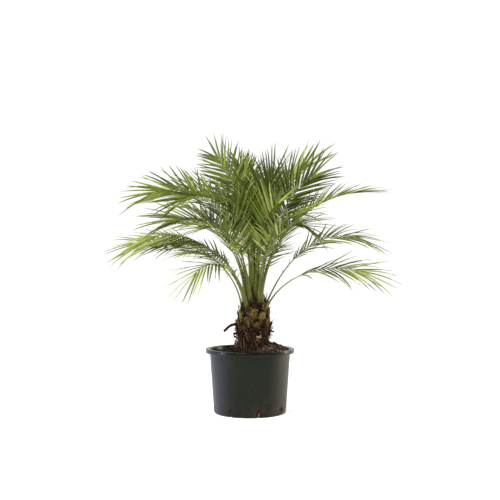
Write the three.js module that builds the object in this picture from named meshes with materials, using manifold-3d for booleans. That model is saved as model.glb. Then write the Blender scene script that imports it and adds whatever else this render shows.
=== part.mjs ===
// A pygmy date palm in its round nursery pot.
// Units are millimetres and +Z is up. The origin is the middle of the pot's flat underside,
// and -Y is the side that the plant is usually seen from.

import * as THREE from 'three';
import { mergeVertices } from 'three/addons/utils/BufferGeometryUtils.js';
import Module from 'manifold-3d';

const wasm = await Module();
wasm.setup();

// ---- driving dimensions -------------------------------------------------------------------

const GAP = 0.3;                 // air between two pieces that bear on each other
const GOLDEN_ANGLE = 137.5;      // degrees from one leaf base to the next one up

const POT = {
  height: 286, baseRadius: 161.5, bodyTopRadius: 181, rimRadius: 200,
  rimHeight: 20, wall: 4, floor: 6, footRound: 5, facets: 40,
  slots: 8, slotTurn: 13, slotWidth: 17, slotHeight: 38, slotDepth: 30,
};

// The soil slopes from the trunk's seat over a shoulder to the pot's edge. Its shoulder is
// heaped up on one side of the trunk, towards +X and a little to the back.
const SOIL = {
  seat: 292, seatRadius: 74, shoulder: 285, shoulderRadius: 112, edge: 256,
  heap: 20, heapTurn: 18,
};

const TRUNK = {
  footX: 15, headX: 19, facets: 14, footRadius: 63, waist: 58, waistRise: 24,
  bodyRadius: 67, bodyRise: 105, neckRadius: 62, neckRise: 158, tipRadius: 12, tipRise: 262,
};

const BOOT = {
  count: 24, firstTurn: 262, firstRise: 74, lastRise: 188, width: 38, footWidth: 12, height: 54,
  flatness: 0.5, tilt: 20, sunk: 2, facets: 5,
};

// Thick roots that leave the trunk above the soil: turn round the trunk, rise above the
// soil, length, lift and thickness.
const AIR_ROOTS = [
  { turn: 196, rise: 90, length: 94, lift: 16, radius: 6.5 },
  { turn: 214, rise: 74, length: 64, lift: -4, radius: 6 },
  { turn: 150, rise: 56, length: 60, lift: -16, radius: 4.5 },
  { turn: 342, rise: 80, length: 52, lift: -4, radius: 4 },
];

// Every frond starts on the cone of the trunk's head: the oldest (age 0) at its foot, the
// youngest (age 1) at its tip. An old frond arches low and its leaflets lie flat. A young one
// stands up and its leaflets rise in a V.
const HEAD = { oldRadius: 58, youngRadius: 12, oldRise: 160, youngRise: 260 };
const RIB = {
  sunk: 14, steps: 9, strides: 6, sides: 3, baseHalfWidth: 7.5, baseHalfThick: 5,
  midHalfWidth: 3.6, midHalfThick: 3.2, tipHalfWidth: 1.6, sheath: 0.3,
};
const LEAFLET = {
  pairs: 10, longest: 200, halfWidth: 9.5, thickness: 2.4, widestAt: 0.36, sunk: 1,
  oldOpening: 45, youngOpening: 52, tipOpening: 12, clearance: 0.6,
};

// Azimuth is the way that a frond leaves the trunk, in degrees from +X, and swing turns it
// on its way out. Rise and dip are its slopes at the base and at the tip, and a higher bend
// keeps the turn between them for the outer end. Roll twists the blade about the rib, and vee
// is how far the leaflets stand up from it, where that isn't left to the age.
const FRONDS = [
  { name: 'frond_low_right',
    azimuth: -30, swing: 20, rise: 82, dip: -15, length: 530, age: 0, bend: 0.65, roll: 40, vee: 12 },
  { name: 'frond_low_front_left',
    azimuth: 238, swing: -12, rise: 78, dip: -40, length: 460, age: 0.05, bend: 1.3, roll: -10, vee: 0 },
  { name: 'frond_low_back_left',
    azimuth: 135, rise: 85, dip: -5, length: 520, age: 0.1, bend: 0.8 },
  { name: 'frond_low_left',
    azimuth: 185, swing: -5, rise: 90, dip: -16, length: 640, age: 0.1, bend: 0.85, roll: -45, vee: 8 },
  { name: 'frond_low_back_right',
    azimuth: 75, rise: 80, dip: 15, length: 440, age: 0.1, bend: 0.9 },
  { name: 'frond_low_front',
    azimuth: 222, swing: -8, rise: 88, dip: -4, length: 540, age: 0.15, bend: 1.5, roll: -20 },
  { name: 'frond_lower_right',
    azimuth: 10, swing: -5, rise: 66, dip: -14, length: 590, age: 0.2, bend: 1.7, roll: 35, vee: 8 },
  { name: 'frond_lower_back',
    azimuth: 95, rise: 85, dip: 0, length: 600, age: 0.25 },
  { name: 'frond_lower_left',
    azimuth: 205, swing: -25, rise: 85, dip: -14, length: 610, age: 0.25, bend: 1, roll: -30, vee: -5 },
  { name: 'frond_lower_front',
    azimuth: -60, swing: 12, rise: 88, dip: 0, length: 540, age: 0.3, bend: 1.6, roll: 25, vee: 20 },
  { name: 'frond_lower_front_right',
    azimuth: -40, swing: -5, rise: 90, dip: -25, length: 520, age: 0.3, bend: 2, roll: 20 },
  { name: 'frond_lower_front_left',
    azimuth: 245, swing: -10, rise: 85, dip: -15, length: 560, age: 0.35, bend: 1.3, vee: 30 },
  { name: 'frond_lower_back_left',
    azimuth: 165, swing: -10, rise: 85, dip: -5, length: 480, age: 0.3 },
  { name: 'frond_mid_left',
    azimuth: 220, swing: -30, rise: 88, dip: -25, length: 620, age: 0.45, bend: 1.5, roll: -45 },
  { name: 'frond_mid_back_right',
    azimuth: 40, swing: 10, rise: 85, dip: 15, length: 500, age: 0.45, bend: 1.2 },
  { name: 'frond_mid_back_left',
    azimuth: 145, rise: 85, dip: 10, length: 620, age: 0.45, bend: 1.2 },
  { name: 'frond_mid_front_right',
    azimuth: -72, rise: 90, dip: 5, length: 560, age: 0.55, bend: 1.4, vee: 45 },
  { name: 'frond_upper_left',
    azimuth: 175, swing: 5, rise: 90, dip: -20, length: 770, age: 0.55, bend: 1.6, roll: -60, vee: 20 },
  { name: 'frond_upper_right',
    azimuth: -5, swing: -20, rise: 85, dip: 3, length: 700, age: 0.55, bend: 1.2 },
  { name: 'frond_upper_back',
    azimuth: 105, rise: 90, dip: 40, length: 700, age: 0.6, bend: 1.6 },
  { name: 'frond_upper_front',
    azimuth: 260, swing: -18, rise: 90, dip: -10, length: 560, age: 0.65, bend: 2, vee: 40 },
  { name: 'frond_high_right',
    azimuth: -33, rise: 88, dip: 32, length: 620, age: 0.7, bend: 1.2, roll: -48, vee: 12 },
  { name: 'frond_high_left',
    azimuth: 228, swing: -21, rise: 90, dip: -30, length: 660, age: 0.75, bend: 1.9, roll: -50 },
  { name: 'frond_high_back_right',
    azimuth: 60, rise: 90, dip: 35, length: 600, age: 0.7, bend: 1.7 },
  { name: 'frond_top_left',
    azimuth: 157, swing: -30, rise: 90, dip: 38, length: 700, age: 0.85, bend: 1.7, roll: -75, vee: 5 },
  { name: 'frond_top_right',
    azimuth: 20, swing: -20, rise: 90, dip: 30, length: 660, age: 0.85, bend: 1.8, roll: 45, vee: 20 },
  { name: 'frond_spear_back',
    azimuth: 85, swing: 40, rise: 90, dip: 55, length: 560, age: 1, bend: 1.4 },
  { name: 'frond_spear_front',
    azimuth: -65, rise: 90, dip: 50, length: 540, age: 0.95 },
];

const COLOURS = {
  pot: 0x2f3231, soil: 0x33241b, trunk: 0x4a3022, oldFrond: 0x7f8a35, youngFrond: 0x55732a,
};

// ---- helpers ------------------------------------------------------------------------------

const radians = THREE.MathUtils.degToRad;
const mix = THREE.MathUtils.lerp;

/** A direction from an azimuth round +Z and an elevation above level, both in radians. */
function direction(azimuth, elevation) {
  const level = Math.cos(elevation);
  return new THREE.Vector3(
    level * Math.cos(azimuth), level * Math.sin(azimuth), Math.sin(elevation));
}

/** A closed three.js geometry, with its shared corners merged, as a solid to join or cut. */
function solidFrom(geometry) {
  const bare = geometry.clone();
  bare.deleteAttribute('normal');
  bare.deleteAttribute('uv');
  const merged = mergeVertices(bare, 1e-3);
  const faces = [];
  for (let i = 0; i < merged.index.count; i += 3) {
    const [a, b, c] = [0, 1, 2].map((k) => merged.index.getX(i + k));
    if (a !== b && b !== c && c !== a) faces.push(a, b, c);
  }
  return new wasm.Manifold(new wasm.Mesh({
    numProp: 3,
    vertProperties: new Float32Array(merged.attributes.position.array),
    triVerts: new Uint32Array(faces),
  }));
}

/** A solid back as a named mesh with a plain material of its own. */
function meshFrom(name, solid, colour, roughness) {
  const data = solid.getMesh();
  const geometry = new THREE.BufferGeometry();
  geometry.setAttribute('position', new THREE.BufferAttribute(data.vertProperties, 3));
  geometry.setIndex(new THREE.BufferAttribute(data.triVerts, 1));
  geometry.computeVertexNormals();
  const material = new THREE.MeshStandardMaterial({ color: colour, roughness, metalness: 0 });
  const mesh = new THREE.Mesh(geometry, material);
  mesh.name = name;
  return mesh;
}

/** Moves every vertex of a geometry by a function of its position. */
function reshape(geometry, move) {
  const spots = geometry.attributes.position;
  const spot = new THREE.Vector3();
  for (let i = 0; i < spots.count; i++) {
    const moved = move(spot.fromBufferAttribute(spots, i));
    spots.setXYZ(i, moved.x, moved.y, moved.z);
  }
  return geometry;
}

/** A solid turned round +Z from [radius, height] pairs that run from axis to axis. */
function turned(profile, facets) {
  const points = profile.map(([radius, height]) => new THREE.Vector2(radius, height));
  return new THREE.LatheGeometry(points, facets).rotateX(Math.PI / 2);
}

// ---- pot and soil -------------------------------------------------------------------------

/** The pot's inner radius at a height above its floor. */
function potInside(height) {
  return mix(POT.baseRadius, POT.bodyTopRadius, height / (POT.height - POT.rimHeight)) - POT.wall;
}

/** A tapered pot with a rolled rim, and drain slots through the corner of its foot. */
function makePot() {
  const { height, baseRadius, bodyTopRadius, rimRadius, rimHeight, floor, footRound } = POT;
  const under = height - rimHeight;
  const profile = [
    [0, 0], [baseRadius - footRound, 0], [baseRadius, footRound],
    [bodyTopRadius, under], [rimRadius - 5, under + 2], [rimRadius, under + 7],
    [rimRadius, height - 6], [rimRadius - 4, height - 1], [rimRadius - 10, height],
    [bodyTopRadius + 1, height - 3], [bodyTopRadius - 3, height - 10],
    [potInside(under - 6), under - 6], [potInside(floor), floor], [0, floor],
  ];
  let pot = solidFrom(turned(profile, POT.facets));
  for (let i = 0; i < POT.slots; i++) {
    const slot = new THREE.BoxGeometry(POT.slotDepth, POT.slotWidth, POT.slotHeight * 2);
    slot.translate(baseRadius, 0, 0);
    slot.rotateZ(radians(POT.slotTurn - 90 + i * 360 / POT.slots));
    pot = pot.subtract(solidFrom(slot));
  }
  return pot;
}

/** Potting soil that fills the pot, domed up to a flat seat under the trunk. */
function makeSoil() {
  const bottom = POT.floor + GAP;
  const low = SOIL.edge - 40;
  const profile = [
    [0, bottom], [potInside(bottom) - GAP - 1, bottom], [potInside(low) - GAP - 1, low],
    [potInside(low) - 3, SOIL.edge], [SOIL.shoulderRadius, SOIL.shoulder],
    [SOIL.seatRadius, SOIL.seat], [0, SOIL.seat],
  ];
  const uphill = direction(radians(SOIL.heapTurn), 0);
  const soil = reshape(turned(profile, POT.facets), (spot) => {
    const lean = TRUNK.footX * THREE.MathUtils.smoothstep(spot.z, SOIL.edge, SOIL.seat);
    const onShoulder = Math.abs(spot.z - SOIL.shoulder) < 1;
    const heap = onShoulder ? SOIL.heap * Math.max(spot.dot(uphill) / SOIL.shoulderRadius, 0) : 0;
    return spot.set(spot.x + lean, spot.y, spot.z + heap);
  });
  return solidFrom(soil);
}

// ---- trunk --------------------------------------------------------------------------------

const trunkFoot = SOIL.seat + GAP;

/** Where the trunk's axis is at a height above its foot. */
function trunkAxis(rise) {
  return new THREE.Vector3(mix(TRUNK.footX, TRUNK.headX, rise / TRUNK.tipRise), 0, trunkFoot + rise);
}

/** The trunk's bare body: root flare, waist, bulge, and the cone that carries the fronds. */
function trunkBody() {
  const profile = [
    [0, 0], [TRUNK.footRadius, 0], [mix(TRUNK.footRadius, TRUNK.waist, 0.7), TRUNK.waistRise / 3],
    [TRUNK.waist, TRUNK.waistRise], [mix(TRUNK.waist, TRUNK.bodyRadius, 0.7), 60],
    [TRUNK.bodyRadius, TRUNK.bodyRise], [TRUNK.neckRadius, TRUNK.neckRise],
    [TRUNK.tipRadius, TRUNK.tipRise], [0, TRUNK.tipRise + 4],
  ];
  return solidFrom(reshape(turned(profile, TRUNK.facets), (spot) => {
    const axis = trunkAxis(spot.z);
    return spot.set(spot.x + axis.x, spot.y, axis.z);
  }));
}

/** The trunk's radius at a height above its foot, between its foot and its neck. */
function trunkRadius(rise) {
  if (rise < TRUNK.bodyRise) {
    return mix(TRUNK.waist, TRUNK.bodyRadius, THREE.MathUtils.smoothstep(rise, TRUNK.waistRise, 80));
  }
  return mix(TRUNK.bodyRadius, TRUNK.neckRadius,
    (rise - TRUNK.bodyRise) / (TRUNK.neckRise - TRUNK.bodyRise));
}

/** One boot: the shield-shaped stump of a cut frond, wide at its cut end. */
function makeBoot(index) {
  const rise = mix(BOOT.firstRise, BOOT.lastRise, index / (BOOT.count - 1)) - BOOT.height / 2;
  const boot = new THREE.CylinderGeometry(
    BOOT.width / 2, BOOT.footWidth / 2, BOOT.height, BOOT.facets);
  boot.rotateX(Math.PI / 2);
  boot.scale(BOOT.flatness, 1, 1);
  boot.rotateY(radians(BOOT.tilt));
  boot.translate(trunkRadius(rise) - BOOT.sunk, 0, 0);
  boot.rotateZ(radians(BOOT.firstTurn + index * GOLDEN_ANGLE));
  const axis = trunkAxis(rise);
  boot.translate(axis.x, axis.y, axis.z);
  return solidFrom(boot);
}

/** A root that arches out of the trunk above the soil and ends in a blunt tip. */
function makeAirRoot({ turn, rise, length, lift, radius }) {
  const out = direction(radians(turn), 0);
  const start = trunkAxis(rise).addScaledVector(out, TRUNK.waist - 14);
  const root = new THREE.CylinderGeometry(radius * 0.6, radius, 1, 5, 5);
  const side = new THREE.Vector3(-out.y, out.x, 0);
  return solidFrom(reshape(root, (spot) => {
    const along = spot.y + 0.5;
    const centre = start.clone().addScaledVector(out, along * length);
    centre.z += lift * Math.sin(Math.PI * along) - (length * 0.16) * along * along;
    return centre.addScaledVector(side, spot.x).add(new THREE.Vector3(0, 0, -spot.z));
  }));
}

// ---- fronds -------------------------------------------------------------------------------

/** The frond's frame at s, from 0 at its base to 1 at its tip: along, up, side and slope. */
function ribFrame(frond, s) {
  const { azimuth, swing = 0, rise, dip, bend = 1.1 } = frond;
  const slope = radians(mix(rise, dip, s ** bend));
  const turn = radians(azimuth + swing * s);
  const along = direction(turn, slope);
  const up = direction(turn, slope + Math.PI / 2);
  return { along, up, side: along.clone().cross(up) };
}

/** Points along the middle of a frond's rib, one for each step from its base to its tip. */
function ribPoints(frond) {
  const { azimuth, length, age } = frond;
  const rise = mix(HEAD.oldRise, HEAD.youngRise, age);
  const radius = mix(HEAD.oldRadius, HEAD.youngRadius, age);
  const point = trunkAxis(rise).addScaledVector(direction(radians(azimuth), 0), radius);
  point.addScaledVector(ribFrame(frond, 0).along, -RIB.sunk);
  const points = [point.clone()];
  const strides = RIB.steps * RIB.strides;
  for (let i = 1; i <= strides; i++) {
    const step = (length + RIB.sunk) / strides;
    point.addScaledVector(ribFrame(frond, (i - 0.5) / strides).along, step);
    if (i % RIB.strides === 0) points.push(point.clone());
  }
  return points;
}

/** The place on a row of evenly spaced points at s, from 0 to 1. */
function placeAt(points, s) {
  const at = THREE.MathUtils.clamp(s, 0, 1) * (points.length - 1);
  const i = Math.min(Math.floor(at), points.length - 2);
  return points[i].clone().lerp(points[i + 1], at - i);
}

/** The rib's half width and half thickness at s: a broad sheath, a slim rib, a fine tip. */
function ribSection(s) {
  if (s < RIB.sheath) {
    const t = (1 - s / RIB.sheath) ** 1.6;
    return [mix(RIB.midHalfWidth, RIB.baseHalfWidth, t), mix(RIB.midHalfThick, RIB.baseHalfThick, t)];
  }
  const t = (s - RIB.sheath) / (1 - RIB.sheath);
  return [mix(RIB.midHalfWidth, RIB.tipHalfWidth, t), mix(RIB.midHalfThick, RIB.tipHalfWidth, t)];
}

/** A frond's rib from its sunk base to its tip, grown by a margin on all sides. */
function makeRib(frond, points, margin, reach = 1) {
  const rod = new THREE.CylinderGeometry(1, 1, 1, RIB.sides, Math.ceil(RIB.steps * reach));
  return solidFrom(reshape(rod, (spot) => {
    const s = (spot.y + 0.5) * reach;
    const { along, up, side } = ribFrame(frond, s);
    const [halfWidth, halfThick] = ribSection(s);
    const place = placeAt(points, s);
    if (s === 0) place.addScaledVector(along, -margin);
    place.addScaledVector(side, spot.x * (halfWidth + margin * 2));
    return place.addScaledVector(up, spot.z * (halfThick + margin * 2));
  }));
}

/** How a leaflet lies at t, from 0 at the innermost to 1 at the tip, on one side of the rib. */
function leafletPose(frond, points, t, hand) {
  const s = mix(mix(0.46, 0.36, frond.age), 0.99, t);
  const { along, up, side } = ribFrame(frond, s);
  const roll = radians((frond.roll ?? 0) * s);
  const blade = side.clone().applyAxisAngle(along, roll);
  const lifted = up.clone().applyAxisAngle(along, roll);
  const vee = radians(frond.vee ?? mix(4, 32, frond.age));
  const opening = mix(LEAFLET.oldOpening, LEAFLET.youngOpening, frond.age);
  const angle = radians(mix(opening, LEAFLET.tipOpening, t ** 3));
  const outward = blade.multiplyScalar(hand * Math.cos(vee)).addScaledVector(lifted, Math.sin(vee));
  const way = along.clone().multiplyScalar(Math.cos(angle)).addScaledVector(outward, Math.sin(angle));
  way.z -= mix(0.1, 0.03, frond.age);
  way.normalize();
  const inner = mix(0.5, 1, THREE.MathUtils.smoothstep(t, 0, 0.3));
  const length = LEAFLET.longest * inner * (1 - 0.12 * t ** 3);
  const across = along.clone().addScaledVector(way, -along.dot(way)).normalize();
  return { root: placeAt(points, s), way, across, length };
}

/** One leaflet, a slim eight-faced blade, grown by a margin on all sides. */
function makeLeaflet({ root, way, across, length }, margin) {
  const flat = across.clone().cross(way);
  return solidFrom(reshape(new THREE.OctahedronGeometry(1, 0), (spot) => {
    const reach = mix(LEAFLET.widestAt * length, spot.y > 0 ? length : -LEAFLET.sunk, Math.abs(spot.y));
    return root.clone()
      .addScaledVector(way, reach + margin * spot.y)
      .addScaledVector(across, spot.x * (LEAFLET.halfWidth + margin))
      .addScaledVector(flat, spot.z * (LEAFLET.thickness / 2 + margin));
  }));
}

function boxesMeet(a, b) {
  return [0, 1, 2].every((k) => a.min[k] <= b.max[k] && b.min[k] <= a.max[k]);
}

/** An obstacle is a solid with its box, owned by one frond, or by none. */
function obstacle(solid, owner) {
  return { solid, owner, box: solid.boundingBox() };
}

function isClear(solid, owner, obstacles) {
  const box = solid.boundingBox();
  return obstacles.every((other) => other.owner === owner || !boxesMeet(box, other.box)
    || solid.intersect(other.solid).isEmpty());
}

/** A frond's leaflets, both sides in turn. One that would touch another piece is skipped. */
function makeLeaflets(frond, points, obstacles) {
  const leaflets = [];
  for (let i = 0; i < LEAFLET.pairs; i++) {
    for (const hand of [-1, 1]) {
      const t = (i + (hand > 0 ? 0.5 : 0)) / (LEAFLET.pairs - 0.5);
      const pose = leafletPose(frond, points, t, hand);
      if (!isClear(makeLeaflet(pose, LEAFLET.clearance), frond.name, obstacles)) continue;
      const leaflet = makeLeaflet(pose, 0);
      obstacles.push(obstacle(leaflet, frond.name));
      leaflets.push(leaflet);
    }
  }
  return leaflets;
}

// ---- the whole plant ----------------------------------------------------------------------

const ribs = FRONDS.map((frond) => ({ frond, points: ribPoints(frond) }));

function makeTrunk() {
  let trunk = trunkBody();
  for (let i = 0; i < BOOT.count; i++) trunk = trunk.add(makeBoot(i));
  for (const root of AIR_ROOTS) trunk = trunk.add(makeAirRoot(root));
  for (const { frond, points } of ribs) trunk = trunk.subtract(makeRib(frond, points, GAP));
  return trunk;
}

const pot = makePot();
const soil = makeSoil();
const trunk = makeTrunk();

const palm = new THREE.Group();
palm.add(meshFrom('pot', pot, COLOURS.pot, 0.55));
palm.add(meshFrom('soil', soil, COLOURS.soil, 1));
palm.add(meshFrom('trunk', trunk, COLOURS.trunk, 0.95));

const obstacles = [pot, soil, trunk].map((solid) => obstacle(solid, 'foot'));
for (const { frond, points } of ribs) {
  obstacles.push(obstacle(makeRib(frond, points, 0), frond.name));
}
for (const { frond, points } of ribs) {
  let blade = makeRib(frond, points, 0);
  for (const leaflet of makeLeaflets(frond, points, obstacles)) blade = blade.add(leaflet);
  const colour = new THREE.Color(COLOURS.oldFrond).lerp(new THREE.Color(COLOURS.youngFrond), frond.age);
  palm.add(meshFrom(frond.name, blade, colour, 0.6));
}

export default palm;
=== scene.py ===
"""A pygmy date palm in its nursery pot: finishes, leaflets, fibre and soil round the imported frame.

Everything is in metres, with +Z up, the origin in the middle of the pot's underside and -Y
towards the viewer. Angles that are named in degrees are turned to radians where they are used.
"""
import random
from collections import namedtuple
from math import atan, cos, hypot, pi, radians, sin, sqrt

import bpy
from mathutils import Matrix, Quaternion, Vector, noise


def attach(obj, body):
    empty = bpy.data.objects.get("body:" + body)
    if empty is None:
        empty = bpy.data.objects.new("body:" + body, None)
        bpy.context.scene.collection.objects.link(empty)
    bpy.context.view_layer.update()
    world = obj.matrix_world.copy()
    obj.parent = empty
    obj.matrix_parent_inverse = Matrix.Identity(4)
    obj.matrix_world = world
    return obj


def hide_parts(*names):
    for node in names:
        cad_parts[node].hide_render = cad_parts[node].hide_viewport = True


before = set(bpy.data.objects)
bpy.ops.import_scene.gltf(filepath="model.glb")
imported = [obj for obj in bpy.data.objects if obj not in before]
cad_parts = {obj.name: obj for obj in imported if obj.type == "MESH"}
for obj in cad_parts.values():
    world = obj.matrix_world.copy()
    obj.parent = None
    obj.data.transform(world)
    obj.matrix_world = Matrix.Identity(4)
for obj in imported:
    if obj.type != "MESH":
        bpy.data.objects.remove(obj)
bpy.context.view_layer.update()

# Without a fixed seed, noise_vector's offsets come from the clock.
noise.seed_set(3)

# ---- driving sizes ----

POT_HEIGHT = 0.286
POT_BASE_RADIUS = 0.1615
POT_BODY_RADIUS = 0.181
POT_RIM_RADIUS = 0.200
POT_RIM_HEIGHT = 0.020
POT_WALL = 0.004
POT_FLOOR = 0.006
POT_SLOTS = 8
POT_SLOT_TURN = 13
POT_SLOT_WIDTH = 0.017
POT_SLOT_HEIGHT = 0.038
POT_FACETS = 160

# The soil slopes from the trunk's seat over a shoulder to the pot's edge, and is heaped up on
# the trunk's right.
SOIL_SEAT, SOIL_SEAT_RADIUS = 0.292, 0.074
SOIL_SHOULDER, SOIL_SHOULDER_RADIUS = 0.285, 0.112
SOIL_EDGE, SOIL_EDGE_RADIUS = 0.256, 0.172
SOIL_HEAP = 0.020
SOIL_HEAP_TURN = 18

TRUNK_FOOT_X = 0.015
TRUNK_HEAD_X = 0.019
TRUNK_TIP_RISE = 0.262

HEAD_OLD_RADIUS, HEAD_YOUNG_RADIUS = 0.058, 0.012
HEAD_OLD_RISE, HEAD_YOUNG_RISE = 0.160, 0.260
RIB_SUNK = 0.014
RIB_STEPS = 48

LEAFLET_LONGEST = 0.200
LEAFLET_HALF_WIDTH = 0.0046
OLD_OPENING, YOUNG_OPENING, TIP_OPENING = 45, 52, 12

# Azimuth is the way that a frond leaves the trunk, swing turns it on its way out, and rise and
# dip are its slopes at the base and the tip, all in degrees. Age runs from 0, the oldest and
# lowest, to 1, the youngest. A higher bend keeps the turn from rise to dip for the outer end.
# Roll twists the blade about its rib, and vee is how far the leaflets stand up from it, where
# that isn't left to the age.
Frond = namedtuple("Frond", "name azimuth swing rise dip length age roll bend vee",
                   defaults=[None])
FRONDS = [Frond(*row) for row in (
    ("low_right", -30, 20, 82, -15, 0.53, 0, 40, 0.65, 12),
    ("low_front_left", 238, -12, 78, -40, 0.46, 0.05, -10, 1.3, 0),
    ("low_back_left", 135, 0, 85, -5, 0.52, 0.1, 0, 0.8),
    ("low_left", 185, -5, 90, -16, 0.64, 0.1, -45, 0.85, 8),
    ("low_back_right", 75, 0, 80, 15, 0.44, 0.1, 0, 0.9),
    ("low_front", 222, -8, 88, -4, 0.54, 0.15, -20, 1.5),
    ("lower_right", 10, -5, 66, -14, 0.59, 0.2, 35, 1.7, 8),
    ("lower_back", 95, 0, 85, 0, 0.60, 0.25, 0, 1.1),
    ("lower_left", 205, -25, 85, -14, 0.61, 0.25, -30, 1, -5),
    ("lower_front", -60, 12, 88, 0, 0.54, 0.3, 25, 1.6, 20),
    ("lower_front_right", -40, -5, 90, -25, 0.52, 0.3, 20, 2),
    ("lower_front_left", 245, -10, 85, -15, 0.56, 0.35, 0, 1.3, 30),
    ("lower_back_left", 165, -10, 85, -5, 0.48, 0.3, 0, 1.1),
    ("mid_left", 220, -30, 88, -25, 0.62, 0.45, -45, 1.5),
    ("mid_back_right", 40, 10, 85, 15, 0.50, 0.45, 0, 1.2),
    ("mid_back_left", 145, 0, 85, 10, 0.62, 0.45, 0, 1.2),
    ("mid_front_right", -72, 0, 90, 5, 0.56, 0.55, 0, 1.4, 45),
    ("upper_left", 175, 5, 90, -20, 0.77, 0.55, -60, 1.6, 20),
    ("upper_right", -5, -20, 85, 3, 0.70, 0.55, 0, 1.2),
    ("upper_back", 105, 0, 90, 40, 0.70, 0.6, 0, 1.6),
    ("upper_front", 260, -18, 90, -10, 0.56, 0.65, 0, 2, 40),
    ("high_right", -33, 0, 88, 32, 0.62, 0.7, -48, 1.2, 12),
    ("high_left", 228, -21, 90, -30, 0.66, 0.75, -50, 1.9),
    ("high_back_right", 60, 0, 90, 35, 0.60, 0.7, 0, 1.7),
    ("top_left", 157, -30, 90, 38, 0.70, 0.85, -75, 1.7, 5),
    ("top_right", 20, -20, 90, 30, 0.66, 0.85, 45, 1.8, 20),
    ("spear_back", 85, 40, 90, 55, 0.56, 1, 0, 1.4),
    ("spear_front", -65, 0, 90, 50, 0.54, 0.95, 0, 1.1),
)]
DRY_TIPPED = {"low_right": 0.7, "low_front_left": 0.45}


# ---- small helpers ----

def mix(a, b, t):
    return a + (b - a) * t


def smooth(t):
    t = min(max(t, 0.0), 1.0)
    return t * t * (3 - 2 * t)


def srgb(red, green, blue):
    """A colour given as 0 to 255, as the linear values that shaders use."""
    def linear(value):
        value /= 255
        return value / 12.92 if value <= 0.04045 else ((value + 0.055) / 1.055) ** 2.4
    return (linear(red), linear(green), linear(blue), 1.0)


def direction(azimuth, elevation=0.0):
    level = cos(elevation)
    return Vector((level * cos(azimuth), level * sin(azimuth), sin(elevation)))


def any_turn(draw):
    return draw.uniform(0, 2 * pi)


def deal(draw, *shares):
    """Draws an index by the share that each has."""
    return draw.choices(range(len(shares)), shares)[0]


def linked(name, data):
    """A new object in the scene that carries the data."""
    thing = bpy.data.objects.new(name, data)
    bpy.context.scene.collection.objects.link(thing)
    return thing


def new_object(name, vertices, faces, materials=(), kinds=None):
    """A smooth mesh object at the origin, from its corners, its faces and their materials."""
    mesh = bpy.data.meshes.new(name)
    mesh.from_pydata([tuple(v) for v in vertices], [], faces)
    for material in materials:
        mesh.materials.append(material)
    if kinds:
        mesh.polygons.foreach_set("material_index", kinds)
    mesh.shade_smooth()
    return linked(name, mesh)


def worked_mesh(thing):
    """The mesh that an object's modifiers leave."""
    return bpy.data.meshes.new_from_object(
        thing.evaluated_get(bpy.context.evaluated_depsgraph_get()))


def store(thing, key, values, kind="FLOAT", field="value"):
    """Keeps one value for each corner of a mesh as a named attribute."""
    thing.data.attributes.new(key, kind, "POINT").data.foreach_set(field, values)


def piece(thing, slot, *nodes):
    """Makes an object a piece of the plant: it rides with it, and stands for the named nodes."""
    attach(thing, "root")
    if nodes:
        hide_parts(*nodes)
    return thing


# ---- node trees ----

def feed(tree, socket, value):
    """Links a socket to an input, or sets the input to a plain value."""
    if isinstance(value, bpy.types.NodeSocket):
        tree.links.new(value, socket)
    elif value is not None:
        socket.default_value = value


def add(tree, kind, *values, named=None, **settings):
    """Adds a node, sets it up, and feeds its inputs in order, then by name. Returns its outputs."""
    node = tree.nodes.new(kind)
    for key, value in settings.items():
        setattr(node, key, value)
    for socket, value in zip([s for s in node.inputs if s.enabled], values):
        feed(tree, socket, value)
    for key, value in (named or {}).items():
        feed(tree, node.inputs[key], value)
    return node.outputs


def get(tree, kind, *values, **settings):
    """Adds a node as above, for its first output alone."""
    return add(tree, kind, *values, **settings)[0]


def socket_kind(value):
    """The kind of socket that holds a value. A geometry has none."""
    if value is None:
        return "NodeSocketGeometry"
    if isinstance(value, int):
        return "NodeSocketInt"
    if isinstance(value, float):
        return "NodeSocketFloat"
    return "NodeSocketVector" if len(value) == 3 else "NodeSocketColor"


def new_tree(name, kind, inputs, outputs):
    """A node group, with inputs and outputs named and typed by their values."""
    tree = bpy.data.node_groups.new(name, kind)
    for title, value in inputs.items():
        socket = tree.interface.new_socket(title, in_out="INPUT", socket_type=socket_kind(value))
        if value is not None:
            socket.default_value = value
    for title, value in outputs.items():
        tree.interface.new_socket(title, in_out="OUTPUT", socket_type=socket_kind(value))
    return tree, tree.nodes.new("NodeGroupInput").outputs, tree.nodes.new("NodeGroupOutput").inputs


def calc(tree, operation, *values):
    return get(tree, "ShaderNodeMath", *values, operation=operation)


def product(tree, first, *others):
    """Values multiplied together."""
    for value in others:
        first = calc(tree, "MULTIPLY", first, value)
    return first


def vector_calc(tree, operation, a, b):
    return get(tree, "ShaderNodeVectorMath", a, b, operation=operation)


def scaled(tree, vector, factor):
    return get(tree, "ShaderNodeVectorMath", vector, operation="SCALE", named={"Scale": factor})


def ranged(tree, value, low, high, out_low, out_high, kind="LINEAR"):
    """A value mapped from one range to another, and kept inside it."""
    return get(tree, "ShaderNodeMapRange", value, low, high, out_low, out_high,
               interpolation_type=kind)


def eased(tree, value, low, high, out_low=0.0, out_high=1.0):
    """The same, with soft ends."""
    return ranged(tree, value, low, high, out_low, out_high, "SMOOTHSTEP")


def blended(tree, factor, first, second):
    """Two colours mixed by a mask."""
    node = tree.nodes.new("ShaderNodeMix")
    node.data_type = "RGBA"
    feed(tree, node.inputs["Factor"], factor)
    feed(tree, node.inputs[6], first)
    feed(tree, node.inputs[7], second)
    return node.outputs[2]


def attribute(tree, name, kind="FLOAT"):
    return get(tree, "GeometryNodeInputNamedAttribute", name, data_type=kind)


def placed(tree, points, shape, turn, size):
    """Copies of a shape on points, made real."""
    copies = get(tree, "GeometryNodeInstanceOnPoints", named={
        "Points": points, "Instance": shape, "Rotation": turn, "Scale": size})
    return get(tree, "GeometryNodeRealizeInstances", copies)


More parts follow.
